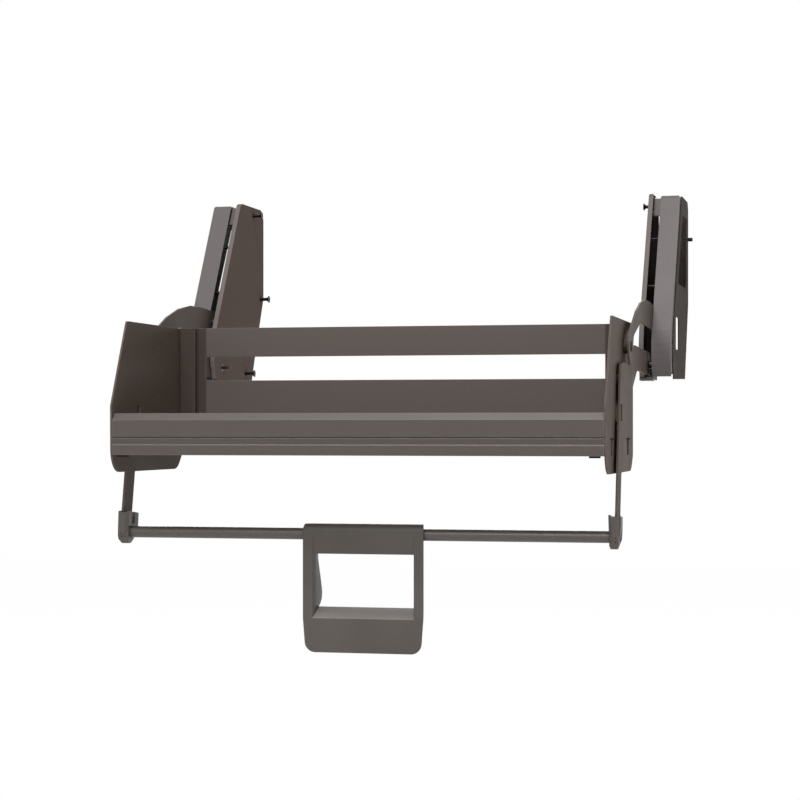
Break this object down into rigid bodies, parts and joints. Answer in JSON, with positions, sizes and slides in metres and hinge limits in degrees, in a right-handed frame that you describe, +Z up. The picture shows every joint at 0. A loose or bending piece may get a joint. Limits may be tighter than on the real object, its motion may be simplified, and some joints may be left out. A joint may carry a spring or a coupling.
{
  "type": "pull-down wardrobe lift",
  "caption": "Pull-down wardrobe lift: a shallow tray with a hanging bar and pull handle, carried by parallel goose-neck arms on two side units.",
  "frame": {"origin": "middle of the bounding box; the centre plane between the two side units is X = 0", "axes": "+X along the hanging bar to the right as seen from the front, +Y into the wardrobe, +Z up"},
  "size_m": [0.778, 0.706, 0.672],
  "materials": {
    "powder_grey": "warm grey powder coat",
    "powder_dark": "dark warm grey powder coat",
    "zinc_steel": "dark zinc plated",
    "black_steel": "black",
    "black_plastic": "matte",
    "grey_plastic": "fine matte texture",
    "rubber": "matte"
  },
  "bodies": {
    "side_units": {"inner_plate_left": "powder_grey", "inner_plate_right": "powder_grey", "front_housing_left": "powder_grey", "front_housing_right": "powder_grey", "mounting_plate_left": "powder_grey", "mounting_plate_right": "powder_grey", "slot_block_left": "powder_grey", "slot_block_right": "powder_grey", "slot_foot_left": "powder_grey", "slot_foot_right": "powder_grey", "arm_buffer_left": "rubber", "arm_buffer_right": "rubber", "upper_stud_left": "zinc_steel", "upper_stud_right": "zinc_steel", "spring_cylinder_left": "black_steel", "spring_cylinder_right": "black_steel", "screw_sleeves": "black_steel", "mounting_screws": "black_steel", "locating_pegs": "black_steel", "slot_spacers": "zinc_steel", "shaft_bushes": "black_plastic", "spring_pins": "zinc_steel"},
    "lower_arm_right": {"lower_arm_right": "powder_grey", "lower_arm_bush_right": "black_plastic", "lower_shaft_right": "zinc_steel", "spring_cam_right": "zinc_steel"},
    "lower_arm_left": {"lower_arm_left": "powder_grey", "lower_arm_bush_left": "black_plastic", "lower_shaft_left": "zinc_steel", "spring_cam_left": "zinc_steel"},
    "upper_arm_right": {"upper_arm_right": "powder_grey", "upper_arm_bushes_right": "black_plastic"},
    "upper_arm_left": {"upper_arm_left": "powder_grey", "upper_arm_bushes_left": "black_plastic"},
    "spring_rod_right": {"spring_rod_right": "zinc_steel"},
    "spring_rod_left": {"spring_rod_left": "zinc_steel"},
    "tray": {"tray_panel_left": "powder_grey", "tray_panel_right": "powder_grey", "carrier_plate_left": "powder_grey", "carrier_plate_right": "powder_grey", "corner_post_left": "powder_dark", "corner_post_right": "powder_dark", "bar_holder_left": "grey_plastic", "bar_holder_right": "grey_plastic", "plate_spacers": "zinc_steel", "lower_tray_pins": "zinc_steel", "upper_tray_pins": "zinc_steel", "front_rail": "powder_grey", "rail_feet": "rubber", "back_rail": "powder_grey", "back_board": "powder_dark", "tray_floor": "powder_dark", "hanging_bar": "powder_grey"},
    "handle": {"handle_front_shell": "grey_plastic", "handle_back_shell": "grey_plastic"}
  },
  "joints": [
    {"name": "lift", "type": "hinge", "parent": "side_units", "child": "lower_arm_right", "pos_m": [0.3418, 0.125, 0.066], "axis": [-1, 0, 0], "range_deg": [0, 85]},
    {"name": "lower_left", "type": "hinge", "parent": "side_units", "child": "lower_arm_left", "pos_m": [-0.3418, 0.125, 0.066], "axis": [-1, 0, 0], "range_deg": [0, 85]},
    {"name": "upper_right", "type": "hinge", "parent": "side_units", "child": "upper_arm_right", "pos_m": [0.3484, 0.125, 0.136], "axis": [-1, 0, 0], "range_deg": [0, 85]},
    {"name": "upper_left", "type": "hinge", "parent": "side_units", "child": "upper_arm_left", "pos_m": [-0.3484, 0.125, 0.136], "axis": [-1, 0, 0], "range_deg": [0, 85]},
    {"name": "tray_level", "type": "hinge", "parent": "lower_arm_right", "child": "tray", "pos_m": [0.3418, -0.16, 0.013], "axis": [-1, 0, 0], "range_deg": [-85, 0]},
    {"name": "spring_right", "type": "slide", "parent": "side_units", "child": "spring_rod_right", "axis": [0, -0.4226, -0.9063], "range_m": [0, 0.0251]},
    {"name": "spring_left", "type": "slide", "parent": "side_units", "child": "spring_rod_left", "axis": [0, -0.4226, -0.9063], "range_m": [0, 0.0251]},
    {"name": "handle_swing", "type": "hinge", "parent": "tray", "child": "handle", "pos_m": [0, -0.279, -0.1747], "axis": [1, 0, 0], "range_deg": [-45, 45]}
  ],
  "couplings": [
    {"joint": "lower_left", "follows": "lift", "ratio": 1},
    {"joint": "upper_right", "follows": "lift", "ratio": 1},
    {"joint": "upper_left", "follows": "lift", "ratio": 1},
    {"joint": "tray_level", "follows": "lift", "ratio": -1},
    {"joint": "spring_right", "follows": "lift", "m_per_rad": 0.016852},
    {"joint": "spring_left", "follows": "lift", "m_per_rad": 0.016852}
  ]
}
